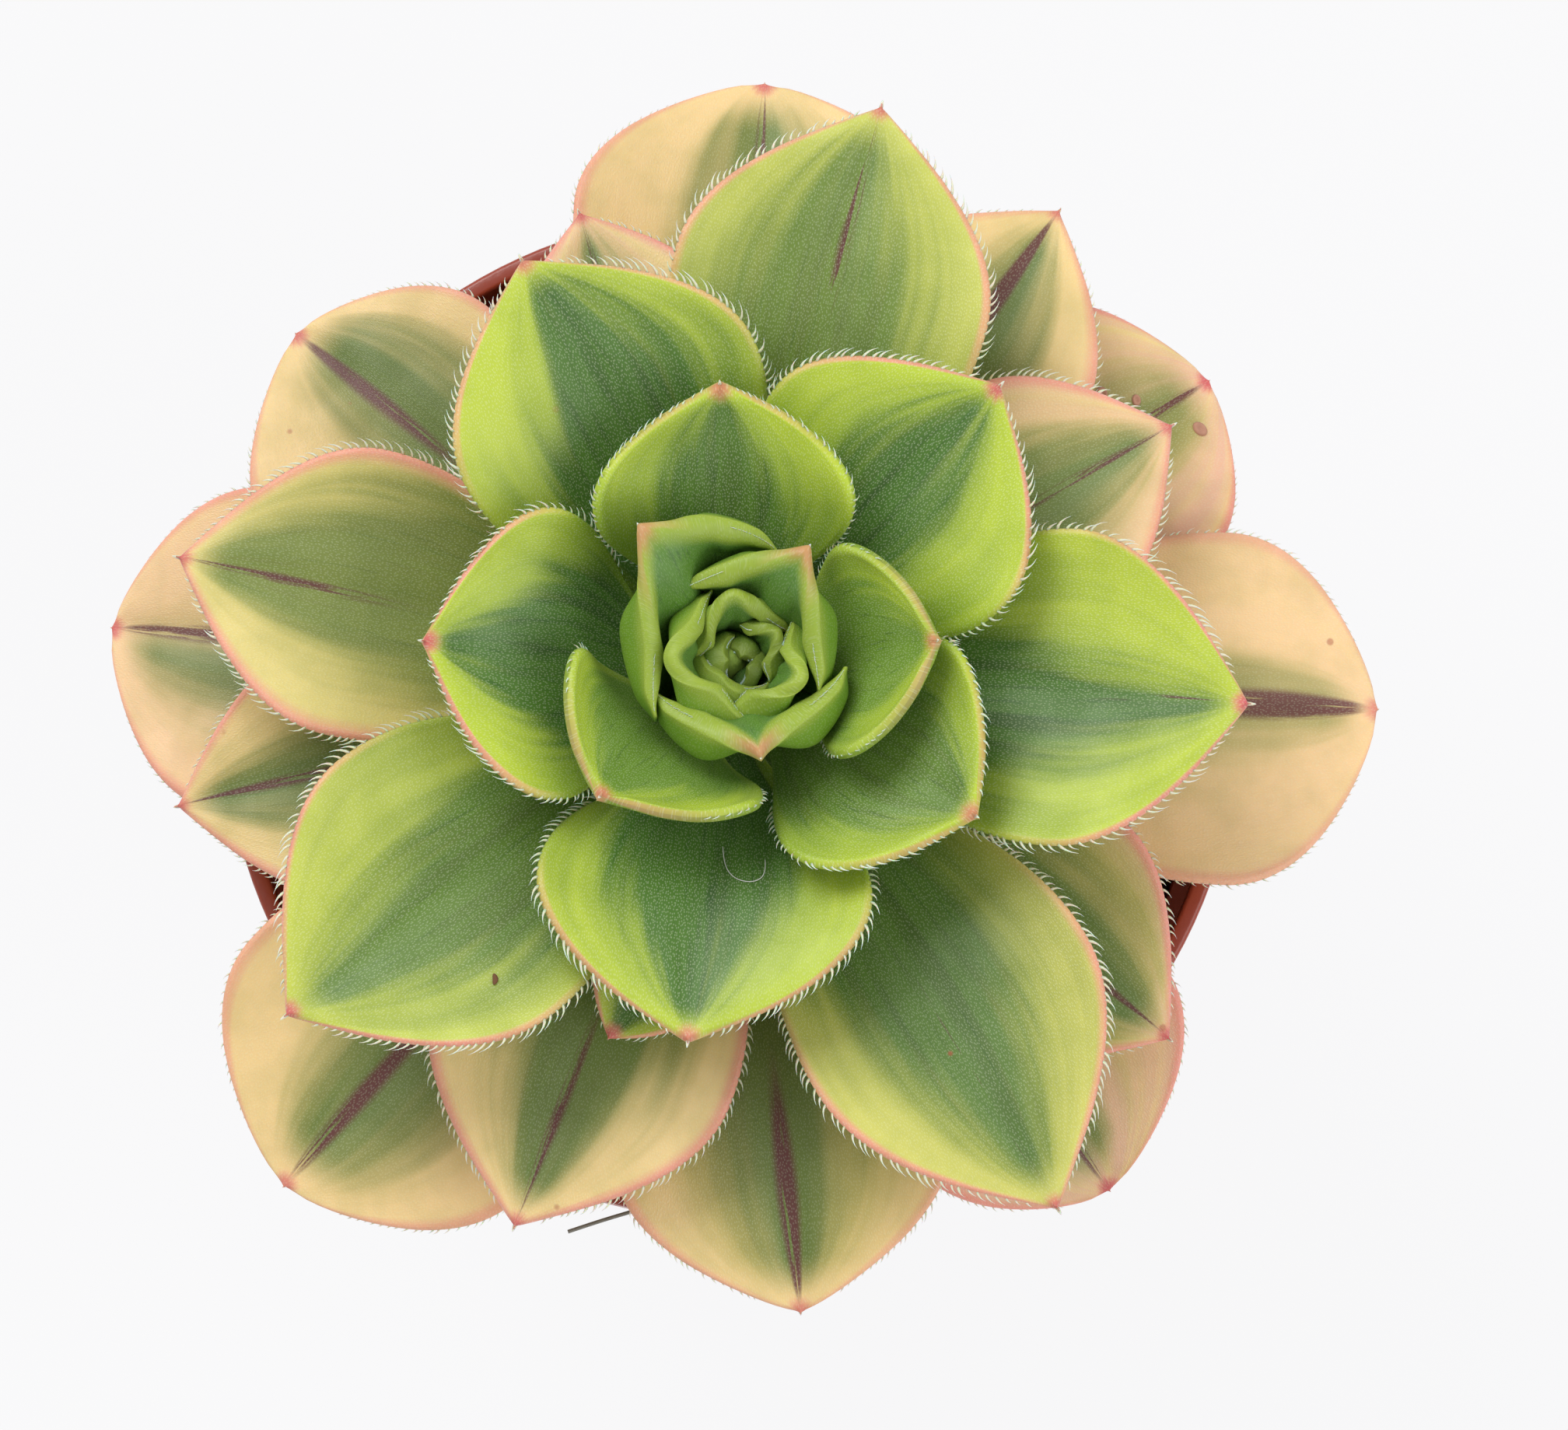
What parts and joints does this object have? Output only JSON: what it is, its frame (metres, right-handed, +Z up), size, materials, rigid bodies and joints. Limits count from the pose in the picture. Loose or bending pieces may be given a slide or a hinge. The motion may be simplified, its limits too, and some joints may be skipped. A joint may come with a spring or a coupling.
{
  "type": "potted aeonium",
  "caption": "Variegated aeonium rosette on a short stem with a side shoot, growing in soil in a thin round nursery pot that stands on its flat base.",
  "frame": {"origin": "centre of the pot's flat base, where it stands", "axes": "+Z up the stem; +Y from the side shoot towards the opposite side of the rosette, +X to its right seen from above"},
  "size_m": [0.1054, 0.1036, 0.104],
  "materials": {
    "pot_plastic": "thin moulded plastic, terracotta colour, satin gloss",
    "potting_soil": "loose peat with bark bits and white grit, dull",
    "stem_bark": "pale corky bark with ringed leaf scars",
    "bud_leaf": "waxy green skin, soft sheen",
    "heart_leaf": "waxy lime skin, green middle, pink hairy margin",
    "upper_leaf": "waxy lime skin with dark green streaks, pink hairy margin",
    "lower_leaf": "waxy cream skin, green middle, maroon midrib, pink margin",
    "shoot_leaf": "waxy green skin, pink hairy margin"
  },
  "bodies": {
    "root": {"bud_leaf_1": "bud_leaf", "bud_leaf_2": "bud_leaf", "bud_leaf_3": "bud_leaf", "bud_leaf_4": "bud_leaf", "bud_leaf_5": "bud_leaf", "bud_leaf_6": "bud_leaf", "bud_leaf_7": "bud_leaf", "bud_leaf_8": "bud_leaf", "bud_leaf_9": "bud_leaf", "heart_leaf_1": "heart_leaf", "heart_leaf_2": "heart_leaf", "heart_leaf_3": "heart_leaf", "heart_leaf_4": "heart_leaf", "lower_leaf_01": "lower_leaf", "lower_leaf_02": "lower_leaf", "lower_leaf_03": "lower_leaf", "lower_leaf_04": "lower_leaf", "lower_leaf_05": "lower_leaf", "lower_leaf_06": "lower_leaf", "lower_leaf_07": "lower_leaf", "lower_leaf_08": "lower_leaf", "lower_leaf_09": "lower_leaf", "lower_leaf_10": "lower_leaf", "lower_leaf_11": "lower_leaf", "lower_leaf_12": "lower_leaf", "lower_leaf_13": "lower_leaf", "lower_leaf_14": "lower_leaf", "pot": "pot_plastic", "shoot_leaf_1": "shoot_leaf", "shoot_leaf_2": "shoot_leaf", "shoot_leaf_3": "shoot_leaf", "shoot_leaf_4": "shoot_leaf", "shoot_leaf_5": "shoot_leaf", "shoot_stalk": "stem_bark", "soil": "potting_soil", "stem": "stem_bark", "upper_leaf_01": "upper_leaf", "upper_leaf_02": "upper_leaf", "upper_leaf_03": "upper_leaf", "upper_leaf_04": "upper_leaf", "upper_leaf_05": "upper_leaf", "upper_leaf_06": "upper_leaf", "upper_leaf_07": "upper_leaf", "upper_leaf_08": "upper_leaf", "upper_leaf_09": "upper_leaf", "upper_leaf_10": "upper_leaf", "upper_leaf_11": "upper_leaf"}
  },
  "joints": []
}
